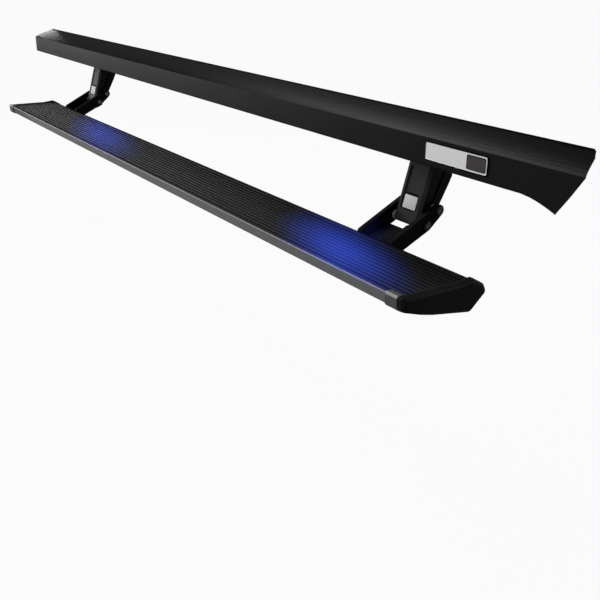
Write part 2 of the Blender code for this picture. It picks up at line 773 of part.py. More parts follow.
def rear_arm_mesh():
    frame = arm_frame(LOWER_REAR)
    low = REAR_KNUCKLE
    high = REAR_TOP_KNUCKLE
    top = ARM_LENGTH
    side = rounded([
        (-low, -low, low * FULL_ROUND),
        (0.006, -low, 0.004),
        (0.060, -REAR_BACK_REACH, 0.040),
        (top - 0.022, -REAR_BACK_REACH, 0.012),
        (top - 0.008, -high, 0.004),
        (top + high, -high, high * FULL_ROUND),
        (top + high, high, high * FULL_ROUND),
        (top - 0.004, high, 0.003),
        (top - 0.014, REAR_FRONT_REACH, 0.004),
        (0.018, REAR_FRONT_REACH, 0.006),
        (0.005, low, 0.002),
        (-low, low, low * FULL_ROUND),
    ])
    blank = prism(side, -ARM_HALF_WIDTH, ARM_HALF_WIDTH, frame @ SIDE)
    shoulder = top - NECK_LENGTH
    wide = ARM_HALF_WIDTH
    neck = NECK_HALF_WIDTH
    plan = rounded([
        (-wide, -0.03, 0), (wide, -0.03, 0),
        (wide, shoulder - NECK_SLOPE, NECK_FILLET), (neck, shoulder, NECK_FILLET), (neck, top + 0.03, 0),
        (-neck, top + 0.03, 0), (-neck, shoulder, NECK_FILLET), (-wide, shoulder - NECK_SLOPE, NECK_FILLET),
    ])
    blank = common(blank, prism(plan, -0.05, 0.05, frame))
    rim = wide - CORE_RIM
    start = REAR_CORE_INSET
    end = shoulder - REAR_CORE_INSET
    rib = CORE_RIB / 2
    floor = REAR_CORE_DEPTH - REAR_BACK_REACH
    tools = []
    for corners in (
        ((-rim, start + 2 * rib), (-rim, end), (rim - 2 * rib, end)),
        ((-rim + 2 * rib, start), (rim, start), (rim, end - 2 * rib)),
    ):
        tools.append(prism(rounded([(*corner, 0.003) for corner in corners]), -0.05, floor, frame))
    tools.append(bore(LOWER_REAR, BUSH_RADIUS + SEAT))
    tools.append(bore(UPPER_REAR, BUSH_RADIUS + SEAT))
    return cut(blank, *tools)


def bush_mesh(centre, arm_half_width, side):
    """A flanged bush whose barrel is in the arm and whose flange fills the gap to the rail."""
    flange_in = arm_half_width + SEAT
    flange_out = RAIL_INNER - SEAT
    bore_radius = BUSH_BORE / math.cos(math.pi / ROUND_SIDES)
    profile = [
        (flange_in - BUSH_DEPTH, bore_radius), (flange_out, bore_radius),
        (flange_out, BUSH_FLANGE_RADIUS), (flange_in, BUSH_FLANGE_RADIUS),
        (flange_in, BUSH_RADIUS), (flange_in - BUSH_DEPTH, BUSH_RADIUS),
    ]
    return turned([(side * along, radius) for along, radius in profile], at(*centre))


def pin_mesh(centre, tail=RAIL_OUTER + SEAT, flanged=True):
    """A headed pivot pin across both rails, with its head on the +X side."""
    seat = RAIL_OUTER + SEAT
    head = seat + PIN_HEAD_HEIGHT
    profile = [
        (head - PIN_SOCKET_DEPTH, 0), (head - PIN_SOCKET_DEPTH, PIN_SOCKET_RADIUS),
        (head, PIN_SOCKET_RADIUS), (head, PIN_HEAD_RADIUS - 0.001), (head - 0.001, PIN_HEAD_RADIUS),
        (seat, PIN_HEAD_RADIUS), (seat, PIN_RADIUS),
    ]
    if flanged:
        profile += [
            (-tail, PIN_RADIUS), (-tail, PIN_TAIL_RADIUS),
            (-tail - PIN_TAIL_HEIGHT, PIN_TAIL_RADIUS - 0.001), (-tail - PIN_TAIL_HEIGHT, 0),
        ]
    else:
        profile += [(-tail, PIN_RADIUS), (-tail, 0)]
    return turned(profile, at(*centre))


def housing_mesh():
    front, rear = UPPER_FRONT, UPPER_REAR
    lap = -PLATE_THICKNESS / 2
    cheek = rounded([
        (front.x - CHEEK_FRONT, lap, 0),
        (front.x - CHEEK_RIM, front.y - CHEEK_RIM, 0.015),
        (front.x + CHEEK_RIM - 0.002, front.y - CHEEK_RIM, 0.012),
        (rear.x + CHEEK_RIM, rear.y - CHEEK_RIM + 0.002, 0.012),
        (rear.x + CHEEK_REAR, lap, 0),
    ])
    cheeks = [prism(cheek, low, low + RAIL_THICKNESS) for low in (-RAIL_OUTER, RAIL_INNER)]
    wing = RAIL_OUTER + PLATE_WING
    plate = rounded([
        (-wing, -PLATE_FRONT, PLATE_CORNER), (wing, -PLATE_FRONT, PLATE_CORNER),
        (wing, PLATE_BACK, PLATE_CORNER), (-wing, PLATE_BACK, PLATE_CORNER),
    ])
    flat = Matrix.Identity(4)
    top = prism(plate, -PLATE_THICKNESS, 0, flat)
    wall_low = front.x - CHEEK_FRONT
    wall = prism(
        [(wall_low, -HOUSING_WALL_DROP), (wall_low + HOUSING_WALL, -HOUSING_WALL_DROP),
         (wall_low + HOUSING_WALL, lap), (wall_low, lap)],
        -RAIL_INNER - HOUSING_WALL_LAP, RAIL_INNER + HOUSING_WALL_LAP,
    )
    body = joined(top, cheeks[0], cheeks[1], wall)
    tools = [
        bore(front, PIN_RADIUS + RUNNING),
        bore(rear, PIN_RADIUS + SEAT),
    ]
    for x in (-wing + MOUNT_HOLE_INSET, wing - MOUNT_HOLE_INSET):
        for y in (-PLATE_FRONT + 2 * MOUNT_HOLE_INSET, PLATE_BACK - 2 * MOUNT_HOLE_INSET):
            tools.append(prism(circle((x, y), MOUNT_HOLE_RADIUS), -0.05, 0.05, flat))
    return cut(body, *tools)


def gearbox_mesh():
    centre = UPPER_FRONT
    inner = -RAIL_OUTER - SEAT
    outer = inner - GEARBOX_THICKNESS
    body = prism(circle(centre, GEARBOX_RADIUS, 24), outer, inner)
    middle = (inner + outer) / 2
    worm = at(centre.x, centre.y - WORM_DROP, middle) @ Matrix.Rotation(math.pi / 2, 4, "Z")
    tube = turned(
        [(-WORM_TUBE_FRONT, 0), (-WORM_TUBE_FRONT, WORM_TUBE_RADIUS - TUBE_BEVEL),
         (-WORM_TUBE_FRONT + TUBE_BEVEL, WORM_TUBE_RADIUS),
         (WORM_TUBE_BACK - TUBE_MOUTH, WORM_TUBE_RADIUS),
         (WORM_TUBE_BACK - TUBE_MOUTH, MOTOR_RADIUS - 0.001), (WORM_TUBE_BACK, MOTOR_RADIUS - 0.001),
         (WORM_TUBE_BACK, 0)],
        worm,
    )
    lugs = []
    for turn in LUG_TURNS:
        way = Vector((math.cos(math.radians(turn)), math.sin(math.radians(turn))))
        spot = centre + way * (GEARBOX_RADIUS + LUG_RADIUS / 3)
        lugs.append(prism(circle(spot, LUG_RADIUS, 12), inner - LUG_THICKNESS, inner))
    return cut(joined(body, tube, *lugs), bore(centre, PIN_RADIUS + RUNNING, outer + 0.008, inner + 0.01))


def motor_mesh():
    start = WORM_TUBE_BACK + SEAT
    end = start + MOTOR_LENGTH
    middle = -RAIL_OUTER - SEAT - GEARBOX_THICKNESS / 2
    axis = at(UPPER_FRONT.x, UPPER_FRONT.y - WORM_DROP, middle) @ Matrix.Rotation(math.pi / 2, 4, "Z")
    return turned(
        [(start, 0), (start, MOTOR_RADIUS), (end - MOTOR_BEVEL, MOTOR_RADIUS),
         (end, MOTOR_RADIUS - MOTOR_BEVEL),
         (end, MOTOR_BOSS_RADIUS), (end + MOTOR_BOSS_LENGTH, MOTOR_BOSS_RADIUS),
         (end + MOTOR_BOSS_LENGTH, 0)],
        axis, 24,
    )


def fascia_points():
    """The fascia's outer face from its bottom return up over the crown to its back lip.

    Each point is (Y, Z, share of the flare's drop, X at the near end).
    """
    front = -FASCIA_REACH
    bottom = FASCIA_BOTTOM
    crease = FASCIA_CREASE
    radius = FASCIA_FILLET
    points = [(front + FASCIA_RETURN, bottom, 0, FASCIA_TIP_X - RETURN_SETBACK)]
    for step in range(4):
        turn = math.pi / 2 * step / 3
        back = radius * (1 - math.sin(turn))
        points.append((front + back, bottom + radius * (1 - math.cos(turn)), 1, FASCIA_TIP_X - back))
    tall = crease - bottom
    slant = FASCIA_CREASE_X - FASCIA_TIP_X
    points.append((front, bottom + tall / 2, 0.5, FASCIA_TIP_X + slant / 2))
    start = Vector((front, crease))
    end = Vector((FASCIA_TOP_BACK, FASCIA_TOP))
    control = Vector((start.x + CROWN_LEAN * (end.x - start.x), start.y + CROWN_BULGE * (end.y - start.y)))
    for step in range(CROWN_STEPS + 1):
        t = step / CROWN_STEPS
        spot = start * (1 - t) ** 2 + control * (2 * t * (1 - t)) + end * t**2
        back = (spot.x - start.x) / (end.x - start.x)
        slant = (FASCIA_TOP_X + TOP_CORNER - FASCIA_CREASE_X) * back
        points.append((spot.x, spot.y, 0, FASCIA_CREASE_X + slant if t < 1 else FASCIA_TOP_X))
    points.append((end.x, end.y - FASCIA_LIP, 0, FASCIA_TOP_X - LIP_SETBACK))
    return points


def fascia_mesh():
    outer = fascia_points()
    line = [Vector(point[:2]) for point in outer]
    inner = []
    for index, point in enumerate(line):
        before = (point - line[index - 1]).normalized() if index else None
        after = (line[index + 1] - point).normalized() if index + 1 < len(line) else None
        before = before or after
        after = after or before
        normal = Vector((before.y, -before.x)) + Vector((after.y, -after.x))
        inner.append(point + normal * (FASCIA_WALL * 2 / normal.length_squared))
    ring = outer + [(*spot, *outer[i][2:]) for i, spot in reversed(list(enumerate(inner)))]
    sections = []
    flare_start = FASCIA_TIP_X - FLARE_LENGTH
    for station in range(-1, FLARE_STATIONS + 1):
        t = max(station, 0) / FLARE_STATIONS
        section = []
        for y, z, drop, end_x in ring:
            x = FASCIA_FAR_X if station < 0 else flare_start + (end_x - flare_start) * t
            section.append((x, y, z - drop * FLARE_DROP * t**FLARE_CURVE))
        sections.append(section)
    shell = loft(sections, wall=True)
    middle = [a.lerp(b, 0.5) for a, b in zip(line, inner)]
    far = prism(middle, FASCIA_FAR_X, FASCIA_FAR_X + FASCIA_WALL)
    near_x = flare_start - END_WALL_INSET
    near = prism(middle, near_x, near_x + FASCIA_WALL)
    return joined(shell, far, near)


def bracket_mesh(width, foot_top, foot_end):
    """An extruded bracket cut to width: riser, foot on the vehicle and leg to the bottom return."""
    wall = BRACKET_WALL
    riser = FASCIA_TOP_BACK + SEAT
    leg = FASCIA_BOTTOM + FASCIA_WALL + SEAT
    leg_front = -FASCIA_REACH + FASCIA_WALL + 0.003
    fillet = 0.003
    outline = rounded([
        (riser, FASCIA_TOP - BRACKET_TOP_DROP, 0),
        (riser, leg + wall, fillet),
        (leg_front, leg + wall, 0),
        (leg_front, leg, 0),
        (riser + wall, leg, fillet + wall),
        (riser + wall, foot_top - wall, fillet),
        (foot_end, foot_top - wall, 0),
        (foot_end, foot_top, 0),
        (riser + wall, foot_top, fillet),
        (riser + wall, FASCIA_TOP - BRACKET_TOP_DROP, 0),
    ])
    return prism(outline, -width / 2, width / 2)


def body_bracket_mesh():
    blank = bracket_mesh(BRACKET_WIDTH, 0, BRACKET_FOOT_BACK)
    flat = Matrix.Identity(4)
    holes = [
        prism(circle((side * BOLT_OFFSET, 0), MOUNT_HOLE_RADIUS), -0.02, 0.02, flat) for side in (-1, 1)
    ]
    return cut(blank, *holes)


def lamp_mesh():
    back_of_return = -FASCIA_REACH + FASCIA_RETURN
    on_return = FASCIA_BOTTOM + FASCIA_WALL + SEAT
    front = back_of_return + SEAT
    low = LAMP_LOW
    outline = [
        (back_of_return - LAMP_TAB_REACH, on_return), (front, on_return), (front, low),
        (front + LAMP_DEPTH, low), (front + LAMP_DEPTH, low + LAMP_HEIGHT - LAMP_BEVEL),
        (front + LAMP_DEPTH - LAMP_BEVEL, low + LAMP_HEIGHT), (front, low + LAMP_HEIGHT),
        (front, on_return + LAMP_TAB), (back_of_return - LAMP_TAB_REACH, on_return + LAMP_TAB),
    ]
    body = prism(outline, -LAMP_WIDTH / 2, LAMP_WIDTH / 2)
    seat = circle((0, front + LAMP_DEPTH / 2), LENS_RADIUS + SEAT)
    return cut(body, prism(seat, low - 0.01, low + LENS_THICKNESS, Matrix.Identity(4)))


def lens_mesh():
    front = -FASCIA_REACH + FASCIA_RETURN + SEAT
    frame = at(front + LAMP_DEPTH / 2, LAMP_LOW) @ ALONG_BOLT
    top = LENS_THICKNESS - SEAT
    return turned(
        [(top, 0), (top, LENS_RADIUS), (0.0005, LENS_RADIUS), (-0.0008, LENS_RADIUS * 0.6), (-0.0012, 0)],
        frame,
    )


def clear_scene():
    for leftover in list(bpy.data.objects):
        bpy.data.objects.remove(leftover)


def build():
    clear_scene()
    black = finish("textured_black_plastic", (0.022, 0.022, 0.025), 0.5, 0)
    tread = finish("satin_black_aluminium", (0.035, 0.035, 0.04), 0.42, 0.6)
    cap = finish("moulded_black_cap", (0.03, 0.03, 0.032), 0.45, 0)
    casting = finish("coated_casting", (0.045, 0.045, 0.048), 0.5, 0.3)
    steel = finish("zinc_plated_steel", (0.62, 0.62, 0.6), 0.3, 1)
    bush = finish("bush_polymer", (0.55, 0.54, 0.5), 0.4, 0)
    sheet = finish("coated_bracket", (0.03, 0.03, 0.03), 0.5, 0.2)
    clear = finish("lamp_lens", (0.6, 0.7, 0.95), 0.1, 0)

    place("rocker_fascia", fascia_mesh(), black)
    bracket = body_bracket_mesh()
    for index, side in enumerate(("far", "mid_far", "middle", "mid_near", "near")):
        place(f"fascia_bracket_{side}", bracket, sheet, x=index * BRACKET_PITCH - BOARD_END)
    lamp, lens = lamp_mesh(), lens_mesh()
    for side, x in (("near", NEAR_LAMP_X), ("far", FAR_LAMP_X)):
        place(f"step_lamp_{side}", lamp, black, x=x)
        place(f"lamp_lens_{side}", lens, clear, x=x)

    shared = {
        "housing": housing_mesh(),
        "stay": bracket_mesh(STAY_WIDTH, -PLATE_THICKNESS - SEAT, UPPER_FRONT.x - CHEEK_FRONT - 0.001),
        "front_arm": front_arm_mesh(),
        "rear_arm": rear_arm_mesh(),
        "carrier": carrier_mesh(),
    }
    step = joint_axis("step_axis", NEAR_X, LOWER_FRONT)
    pivots = {
        "front_upper": (UPPER_FRONT, ARM_HALF_WIDTH),
        "front_lower": (LOWER_FRONT, ARM_HALF_WIDTH),
        "rear_upper": (UPPER_REAR, NECK_HALF_WIDTH),
        "rear_lower": (LOWER_REAR, ARM_HALF_WIDTH),
    }
    for side, x in (("near", NEAR_X), ("far", FAR_X)):
        axes = {
            "front": joint_axis(f"front_arm_axis_{side}", x, UPPER_FRONT),
            "rear": joint_axis(f"rear_arm_axis_{side}", x, UPPER_REAR),
        }
        place(f"linkage_housing_{side}", shared["housing"], casting, x=x)
        place(f"fascia_stay_{side}", shared["stay"], sheet, x=x)
        place(f"front_arm_{side}", shared["front_arm"], casting, axes["front"], x)
        place(f"rear_arm_{side}", shared["rear_arm"], casting, axes["rear"], x)
        place(f"step_carrier_{side}", shared["carrier"], casting, step, x)
        for pivot, (centre, half_width) in pivots.items():
            arm = axes[pivot.split("_")[0]]
            for end, way in (("left", -1), ("right", 1)):
                sleeve = bush_mesh(centre, half_width, way)
                place(f"{pivot}_bush_{side}_{end}", sleeve, bush, arm, x)
            if pivot == "front_upper" and side == "near":
                shaft = pin_mesh(centre, RAIL_OUTER + GEARBOX_THICKNESS - 0.010, False)
                place("drive_shaft", shaft, steel, arm, x)
                continue
            carried = step if pivot.endswith("lower") else None
            place(f"{pivot}_pin_{side}", pin_mesh(centre), steel, carried, x)
        for end, way in (("left", -1), ("right", 1)):
            bolt_x = way * BOLT_SPACING / 2
            place(f"carrier_bolt_{side}_{end}", carrier_bolt_mesh(bolt_x), steel, step, x)
            place(f"carrier_nut_{side}_{end}", carrier_nut_mesh(bolt_x), steel, step, x)
    place("gearbox", gearbox_mesh(), casting, x=NEAR_X)
    place("drive_motor", motor_mesh(), sheet, x=NEAR_X)

    place("step_board", step_board_mesh(), tread, step)
    end_cap = end_cap_mesh()
    place("end_cap_near", end_cap, cap, step)
    place("end_cap_far", mirrored(end_cap), cap, step)


build()
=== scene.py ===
"""Looks of a powered running board: its finishes, badge plate, label plates, edge seal and screws.

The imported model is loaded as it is, and every new piece rides on one of its bodies. The step is
shown swung out, over a pale studio floor.
"""

import math

import bmesh
import bpy
from mathutils import Matrix, Vector


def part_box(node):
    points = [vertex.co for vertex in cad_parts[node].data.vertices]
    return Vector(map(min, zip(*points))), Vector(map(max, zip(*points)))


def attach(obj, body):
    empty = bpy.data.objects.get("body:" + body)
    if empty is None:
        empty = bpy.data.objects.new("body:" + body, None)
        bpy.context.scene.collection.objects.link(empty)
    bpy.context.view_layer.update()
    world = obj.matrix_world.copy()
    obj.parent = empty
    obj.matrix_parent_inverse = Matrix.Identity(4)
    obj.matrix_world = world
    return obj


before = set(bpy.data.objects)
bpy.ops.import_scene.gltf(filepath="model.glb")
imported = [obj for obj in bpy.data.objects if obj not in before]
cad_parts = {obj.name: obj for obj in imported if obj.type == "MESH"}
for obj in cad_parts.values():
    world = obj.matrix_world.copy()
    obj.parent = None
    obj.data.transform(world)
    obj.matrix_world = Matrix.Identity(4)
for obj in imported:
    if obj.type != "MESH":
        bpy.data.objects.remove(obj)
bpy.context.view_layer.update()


def box_middle(node):
    low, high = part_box(node)
    return (low + high) / 2


# The linkages, in metres. A pivot is the Y and Z of its axis, and an arm leans along its pivots
NEAR_LINKAGE_X = box_middle("front_arm_near").x
FAR_LINKAGE_X = box_middle("front_arm_far").x
FRONT_LOWER = box_middle("front_lower_pin_near").yz
REAR_LOWER = box_middle("rear_lower_pin_near").yz
FRONT_UPPER = box_middle("drive_shaft").yz
REAR_UPPER = box_middle("rear_upper_pin_near").yz
ARM_LEAN = math.atan2(*(FRONT_UPPER - FRONT_LOWER).yx)

# A front arm's face: its tilt from the line of the pivots, its height over the lower one, its recess
ARM_FACE_TILT = math.radians(9)
ARM_FACE_RISE = 0.012
RECESS_DEPTH = 0.0025

# The step board. Its nosing's corner, before the fillet, stands a little ahead of its box
BOARD_LOW, BOARD_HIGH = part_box("step_board")
BOARD_END = BOARD_HIGH.x
TREAD_Z = BOARD_HIGH.z
NOSE_Y = BOARD_LOW.y - 0.0001
NOSE_BOTTOM_Z = TREAD_Z - 0.022

# The rocker fascia. Its top edge runs a little way past the board's near end
FASCIA_LOW, FASCIA_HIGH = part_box("rocker_fascia")
FASCIA_FRONT_Y = FASCIA_LOW.y
FASCIA_BACK_Y = FASCIA_HIGH.y
FASCIA_TOP_NEAR_X = BOARD_END + 0.155

# Gearbox lugs and motor, and their screws
LUG_CIRCLE = 0.028
LUG_TURNS = (80, 150, 350)
LUG_FACE_X = NEAR_LINKAGE_X - 0.0633
LUG_SCREW_RADIUS = 0.0034
MOTOR_BOSS = 0.004
MOTOR_END_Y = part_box("drive_motor")[1].y - MOTOR_BOSS
MOTOR_SCREW_OFFSET = 0.0125
MOTOR_SCREW_RADIUS = 0.0022

# A screw's head, its edge and its recess as shares of its radius
HEAD_HEIGHT = 0.9
HEAD_EDGE = 0.12
HEAD_RIM = 0.35
HEAD_SINK = 0.08

# Badge plate on the fascia's front face, and the field at its near end
BADGE_MIDDLE = (1.0255, -0.008)
BADGE_WIDTH = 0.155
BADGE_HEIGHT = 0.034
BADGE_CORNER = 0.005
BADGE_THICKNESS = 0.0022
BADGE_EDGE = 0.0005
BADGE_RIM = 0.0014
BADGE_SINK = 0.0004
FIELD_WIDTH = 0.045
FIELD_HEIGHT = 0.025
FIELD_INSET = 0.0045
FIELD_CORNER = 0.003
FIELD_THICKNESS = 0.0007
FIELD_EDGE = 0.0002
FIELD_RIM = 0.0011
FIELD_SINK = 0.0003

# Label plate in each front arm's recess, from low to high along the arm, and its backing, a black
# sheet standing as painted shade round it
LABEL_WIDTH = 0.0385
LABEL_LOW = 0.0185
LABEL_HIGH = 0.046
LABEL_CORNER = 0.0015
LABEL_THICKNESS = 0.0009
LABEL_EDGE = 0.0003
SHADOW_BACKING_GAP = 0.0050
SHADOW_BACKING_WIDTH = LABEL_WIDTH - 0.004
SHADOW_BACKING_CORNER = 0.002
SHADOW_BACKING_THICKNESS = 0.0007

# Rubber bead on the fascia's top back edge
SEAL_RADIUS = 0.0022
SEAL_OFFSET = 0.0006
SEAL_FAR_GAP = 0.002
SEAL_NEAR_GAP = 0.004

# Bands over which the fascia changes, its painted highlight among them: across its crown from the
# crease, and along it
CREASE_BAND = (FASCIA_FRONT_Y + 0.006, FASCIA_BACK_Y - 0.018)
CREASE_HIGHLIGHT_STARTS = (-0.4, 0.8)
CREASE_HIGHLIGHT_ENDS = (0.85, 1.2)
MATT_STARTS = (-0.4, 0.6)
GLOSSY_END = (-1.25, -0.95)

# Bands over which the end caps change, where they wrap the nosing: a painted reflection and a painted
# highlight
WRAP_END = (BOARD_END - 0.001, BOARD_END + 0.0015)
WRAP_HIGHLIGHT_Z = (TREAD_Z - 0.0035, TREAD_Z - 0.0005)
WRAP_HIGHLIGHT_Y = (NOSE_Y, NOSE_Y + 0.004)

# Painted blue lamp light on the near carrier: half the gap between its rails, the bands over which it
# fades, and its colour
RAIL_INNER = 0.0435
RAIL_WALL = (RAIL_INNER + 0.0002, RAIL_INNER + 0.0010)
SPILL_END_X = (NEAR_LINKAGE_X - 0.035, NEAR_LINKAGE_X + 0.020)
SPILL_END_Y = (-0.120, -0.060)
SPILL_BLUE = (0.004, 0.005, 0.028)

# Bands over which the tread changes, among them its painted sheen, shade and highlight
RIB_TOP = (TREAD_Z - 0.0008, TREAD_Z - 0.0001)
NOSING_SIDE_END = (NOSE_Y + 0.03, NOSE_Y + 0.145)
FAR_SHEEN_END = (-1.1, -0.1)
FAR_NOSING_SHADE_END = (-1.10, -0.80)
NOSING_BACK = (NOSE_Y + 0.001, NOSE_Y + 0.0022)
NOSING_BOTTOM = (NOSE_BOTTOM_Z, NOSE_BOTTOM_Z + 0.0015)
NOSING_HIGHLIGHT = (TREAD_Z - 0.0030, TREAD_Z - 0.0004)
LIT_DEPTH = (TREAD_Z - 0.006, TREAD_Z - 0.0008)

# Painted pools of blue lamp light on the tread: middle, reach along X and Y, and X per Y of their
# slant
NEAR_POOL = ((0.85, -0.245), (0.25, 0.140), -1.2)
FAR_POOL = ((-0.43, -0.225), (0.34, 0.140), -2.0)
FAR_POOL_SHARE = 0.72
PAINTED_POOL_BLUE = (0.014, 0.042, 0.42)
UNLIT = (0, 0, 0)

# Radii between which a pin's painted highlight ends
PIN_HIGHLIGHT = (0.0030, 0.0040)

# Light of the world on the object, and the share of its white that gloss shows
WORLD_LIGHT = 0.06
GLOSS_SHARE = 0.03

# Lamps: place, the point that each is turned to, width and height, and watts
LAMPS = {
    "overhead softbox": ((-1.1, -0.5, 2.4), (0, -0.15, 0), (3.0, 1.6), 56),
    "front softbox": ((0.5, -2.8, 1.2), (0, -0.15, -0.05), (2.4, 1.2), 40),
    "end softbox": ((-3.3, -1.7, 0.45), (-0.6, -0.15, -0.05), (1.8, 1.2), 39),
    "back softbox": ((1.7, 2.8, 1.5), (0, -0.1, -0.05), (2.4, 1.2), 34),
    "far end light": ((-1.515, -0.05, 0.077), (-1.28, -0.1, 0.033), (0.10, 0.04), 0.034),
}

# Floor, and how much of its white the camera and gloss see
FLOOR_Z = -0.62
FLOOR_REACH = 30
FLOOR_SEEN = 0.95
FLOOR_IN_GLOSS = 0.1

# Camera, from the photograph's edges
IMAGE_SIDE = 600
FOCAL_PIXELS = 847.27
SENSOR = 36
CAMERA_PLACE = (2.0763, -1.1458, 0.3065)
CAMERA_AZIMUTH = math.radians(56.46)
CAMERA_DROP = math.radians(21.99)
CAMERA_ROLL = math.radians(0.72)
NEAREST_SEEN = 0.05
FARTHEST_SEEN = 100

# Doubles are merged below this distance, and edges above this angle stay sharp
MERGE = 1e-6
SHARP = math.radians(35)


class Wire:
    """A socket in a tree of nodes. Python's operators on it add Math nodes."""

    def __init__(self, nodes, socket):
        self.nodes = nodes
        self.socket = socket

    def maths(self, operation, *values):
        return self.nodes.node("ShaderNodeMath", {"operation": operation}, dict(enumerate(values)))

    def __add__(self, other):
        return self.maths("ADD", self, other)

    def __sub__(self, other):
        return self.maths("SUBTRACT", self, other)

    def __rsub__(self, other):
        return self.maths("SUBTRACT", other, self)

    def __mul__(self, other):
        return self.maths("MULTIPLY", self, other)

    __radd__ = __add__
    __rmul__ = __mul__

    def __truediv__(self, other):
        return self.maths("DIVIDE", self, other)

    def __pow__(self, other):
        return self.maths("POWER", self, other)

    def __abs__(self):
        return self.maths("ABSOLUTE", self)

    def least(self, other):
        return self.maths("MINIMUM", self, other)

    def between(self, low, high):
        """0 below low, 1 above high, and a smooth rise from one to the other."""
        settings = {"interpolation_type": "SMOOTHSTEP"}
        return self.nodes.node("ShaderNodeMapRange", settings, {0: self, 1: low, 2: high})


class Nodes:
    """The nodes of a material or of the world."""

    def __init__(self, owner):
        owner.use_nodes = True
        self.tree = owner.node_tree

    def fill(self, socket, value):
        if isinstance(value, Wire):
            self.tree.links.new(value.socket, socket)
        elif socket.type == "RGBA" and len(value) == 3:
            socket.default_value = (*value, 1)
        else:
            socket.default_value = value

    def node(self, kind, settings=None, inputs=None, output=0):
        """Adds one node: its settings come first, then its sockets' values or links."""
        node = self.tree.nodes.new(kind)
        for name, value in (settings or {}).items():
            setattr(node, name, value)
        for name, value in (inputs or {}).items():
            self.fill(node.inputs[name], value)
        return Wire(self, node.outputs[output])

    def ray(self, kind):
        return self.node("ShaderNodeLightPath", output=f"Is {kind} Ray")


class Finish(Nodes):
    """A named material under way."""

    def __init__(self, name, roughness=0.5, metallic=0.0, **constants):
        self.material = bpy.data.materials.new(name)
        super().__init__(self.material)
        self.shader = self.tree.nodes["Principled BSDF"]
        self.set("Roughness", roughness)
        self.set("Metallic", metallic)
        for socket, value in constants.items():
            self.set(socket.replace("_", " "), value)
        self.place = self.node("ShaderNodeTexCoord", output="Object")

    def set(self, socket, value):
        self.fill(self.shader.inputs[socket], value)

    def noise(self, scale, detail=3, stretch=(1, 1, 1)):
        """Noise of about 0 to 1 whose grain is 1 / scale metres, longer where stretch is small."""
        where = self.node("ShaderNodeMapping", None, {"Vector": self.place, "Scale": stretch})
        inputs = {"Vector": where, "Scale": scale, "Detail": detail}
        return self.node("ShaderNodeTexNoise", None, inputs)

    def split(self, vector):
        parts = self.node("ShaderNodeSeparateXYZ", None, {0: vector}).socket.node
        return [Wire(self, parts.outputs[index]) for index in range(3)]

    def axes(self):
        return self.split(self.place)

    def facing(self, *way):
        """How far the surface faces a way, from -1 to 1."""
        parts = self.split(self.node("ShaderNodeTexCoord", output="Normal"))
        return parts[0] * way[0] + parts[1] * way[1] + parts[2] * way[2]

    def mix(self, factor, first, second):
        settings = {"data_type": "RGBA"}
        return self.node("ShaderNodeMix", settings, {0: factor, 6: first, 7: second}, 2)

    def bump(self, height, distance):
        inputs = {"Height": height, "Distance": distance, "Strength": 1.0}
        self.set("Normal", self.node("ShaderNodeBump", None, inputs))

    def emit(self, colour, strength=1.0):
        self.set("Emission Color", colour)
        self.set("Emission Strength", strength)


def grey(value, blue=1.03):
    """A grey whose blue is a little above its red and green."""
    return (value, value, value * blue)


def distance_from(axis, y, z):
    """Distance from a line along X."""
    across = y - axis[0]
    up = z - axis[1]
    return (across * across + up * up) ** 0.5


def fascia_plastic():
    """Black moulded plastic with a pebbled grain. Its crown is painted darker as shade, is smoother,
    and is the glossiest at the far end. From the middle towards the badge it turns matt, and beside
    the crease it is painted paler as a highlight.
    """
    finish = Finish("grained black fascia", Specular_IOR_Level=0.09)
    slow = finish.noise(5)
    grain = finish.noise(650, detail=4)
    x, y = finish.axes()[:2]
    crown = finish.facing(0, 0, 1).between(0.4, 0.7)
    black = finish.mix(slow.between(0.35, 0.65), grey(0.0050), grey(0.0070))
    # Painted shade: the crown's colour is darker than the faces below it.
    black = finish.mix(crown, black, grey(0.0020))
    by_crease = crown * (1 - y.between(*CREASE_BAND))
    # Painted highlight: a paler band beside the crease, from the middle towards the badge.
    crease_highlight = by_crease * x.between(*CREASE_HIGHLIGHT_STARTS) * (1 - x.between(*CREASE_HIGHLIGHT_ENDS))
    finish.set("Base Color", finish.mix(crease_highlight * slow.between(0.2, 0.7), black, grey(0.0060)))
    smooth = crown * (1 - by_crease * x.between(*MATT_STARTS)) * (2 - x.between(*GLOSSY_END))
    finish.set("Roughness", 0.34 + 0.10 * grain - 0.08 * smooth)
    finish.bump(grain, 0.00015)
    return finish.material


def end_cap_plastic():
    """Black cap with a matt dome, painted paler as reflection where it wraps the nosing, with a
    painted highlight on that band's top edge.
    """
    finish = Finish("moulded end cap", Specular_IOR_Level=0.10)
    x, y, z = finish.axes()
    grain = finish.noise(900, detail=4)
    slow = finish.noise(30)
    band = 1 - abs(x).between(*WRAP_END)
    edge = z.between(*WRAP_HIGHLIGHT_Z) * (1 - y.between(*WRAP_HIGHLIGHT_Y))
    black = finish.mix(slow.between(0.35, 0.65), grey(0.0042), grey(0.0062))
    # Painted reflection: the cap is paler where it wraps the nosing.
    with_painted_reflection = finish.mix(band, black, finish.mix(slow, grey(0.070), grey(0.105)))
    # Painted highlight along the top edge of the wrap.
    finish.set("Base Color", finish.mix(band * edge, with_painted_reflection, grey(0.34)))
    finish.set("Roughness", 0.46 + 0.12 * grain)
    finish.bump(grain, 0.0001)
    return finish.material


def powder_coat(name, dark, light, roughness, gloss=0.09):
    """Powder coat: orange peel, and a slow change of colour and gloss. Returns the whole finish."""
    finish = Finish(name, Specular_IOR_Level=gloss)
    peel = finish.noise(700, detail=2)
    slow = finish.noise(25)
    finish.set("Base Color", finish.mix(slow.between(0.3, 0.7), dark, light))
    finish.set("Roughness", roughness + 0.12 * slow + 0.06 * peel)
    finish.bump(peel, 0.00012)
    return finish


